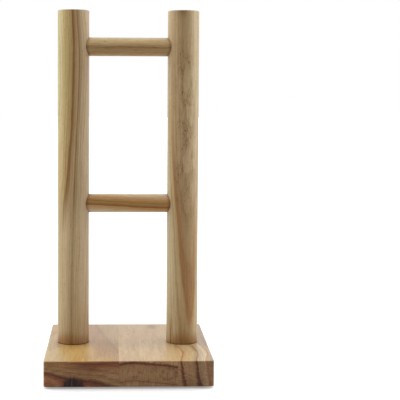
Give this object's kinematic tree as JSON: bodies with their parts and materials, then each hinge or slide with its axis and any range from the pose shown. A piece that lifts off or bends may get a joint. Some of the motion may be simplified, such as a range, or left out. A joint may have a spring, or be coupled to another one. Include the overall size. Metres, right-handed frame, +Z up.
{
  "type": "headphone stand",
  "caption": "Desktop headphone stand: square wooden base, two round upright posts and two round rungs between them; a headband hangs over the upper rung.",
  "frame": {"origin": "on the surface that the stand rests on, under the centre of the base", "axes": "+Z up along the posts; +X to the right, from the left post to the right post; front towards -Y"},
  "size_m": [0.13, 0.13, 0.2915],
  "materials": {
    "base_wood": "clear satin lacquer",
    "post_wood": "clear satin lacquer",
    "rung_wood": "clear satin lacquer",
    "screw_steel": "zinc plated",
    "pad_rubber": "matte"
  },
  "bodies": {
    "root": {"base_stave_left": "base_wood", "base_stave_middle": "base_wood", "base_stave_right": "base_wood", "post_left": "post_wood", "post_right": "post_wood", "rung_lower": "rung_wood", "rung_upper": "rung_wood", "post_screw_left": "screw_steel", "post_screw_right": "screw_steel", "foot_pad_front_left": "pad_rubber", "foot_pad_front_right": "pad_rubber", "foot_pad_rear_left": "pad_rubber", "foot_pad_rear_right": "pad_rubber"}
  },
  "joints": []
}
